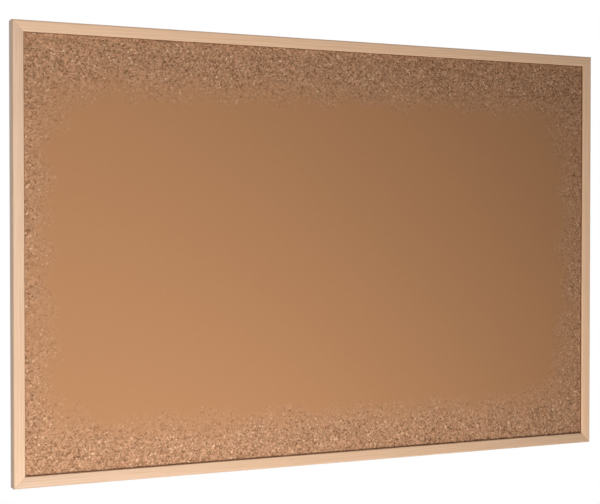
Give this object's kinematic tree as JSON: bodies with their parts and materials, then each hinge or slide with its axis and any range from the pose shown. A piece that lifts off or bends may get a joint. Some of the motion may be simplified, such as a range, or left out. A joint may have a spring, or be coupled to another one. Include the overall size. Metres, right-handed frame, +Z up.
{
  "type": "cork pin board",
  "caption": "Flat rectangular wall board with a soft cork face in a slim mitred wooden frame, for pinning badges; hinged wire rings on its back hang it from hooks.",
  "frame": {"origin": "middle of the top rail's back face, on the wall plane", "axes": "+X along the width, to the right seen from the front; +Y towards the wall, so the cork faces -Y; +Z up"},
  "size_m": [0.6, 0.012, 0.3999],
  "materials": {
    "frame_wood": "pale pine, clear satin lacquer",
    "cork": "agglomerated cork, matt, granules of several browns",
    "fibreboard": "soft fibreboard, matt",
    "hardboard": "brown hardboard, rough screen-marked side out",
    "blued_steel": "thin blued spring steel",
    "nickel_steel": "nickel-plated steel"
  },
  "bodies": {
    "board": {"top_rail": "frame_wood", "bottom_rail": "frame_wood", "left_stile": "frame_wood", "right_stile": "frame_wood", "cork_sheet": "cork", "core_board": "fibreboard", "back_board": "hardboard", "v_nail_top_left": "blued_steel", "v_nail_top_right": "blued_steel", "v_nail_bottom_right": "blued_steel", "v_nail_bottom_left": "blued_steel", "point_top_1": "blued_steel", "point_top_2": "blued_steel", "point_top_3": "blued_steel", "point_top_4": "blued_steel", "point_right_1": "blued_steel", "point_right_2": "blued_steel", "point_right_3": "blued_steel", "point_bottom_1": "blued_steel", "point_bottom_2": "blued_steel", "point_bottom_3": "blued_steel", "point_bottom_4": "blued_steel", "point_left_1": "blued_steel", "point_left_2": "blued_steel", "point_left_3": "blued_steel", "left_strap": "nickel_steel", "left_rivet": "nickel_steel", "right_strap": "nickel_steel", "right_rivet": "nickel_steel"},
    "left_hanger_ring": {"left_ring": "nickel_steel"},
    "right_hanger_ring": {"right_ring": "nickel_steel"}
  },
  "joints": [
    {"name": "left_ring_swing", "type": "hinge", "parent": "board", "child": "left_hanger_ring", "pos_m": [-0.2, -0.0017, -0.03627], "axis": [1, 0, 0], "range_deg": [0, 180]},
    {"name": "right_ring_swing", "type": "hinge", "parent": "board", "child": "right_hanger_ring", "pos_m": [0.2, -0.0017, -0.03627], "axis": [1, 0, 0], "range_deg": [0, 180]}
  ]
}
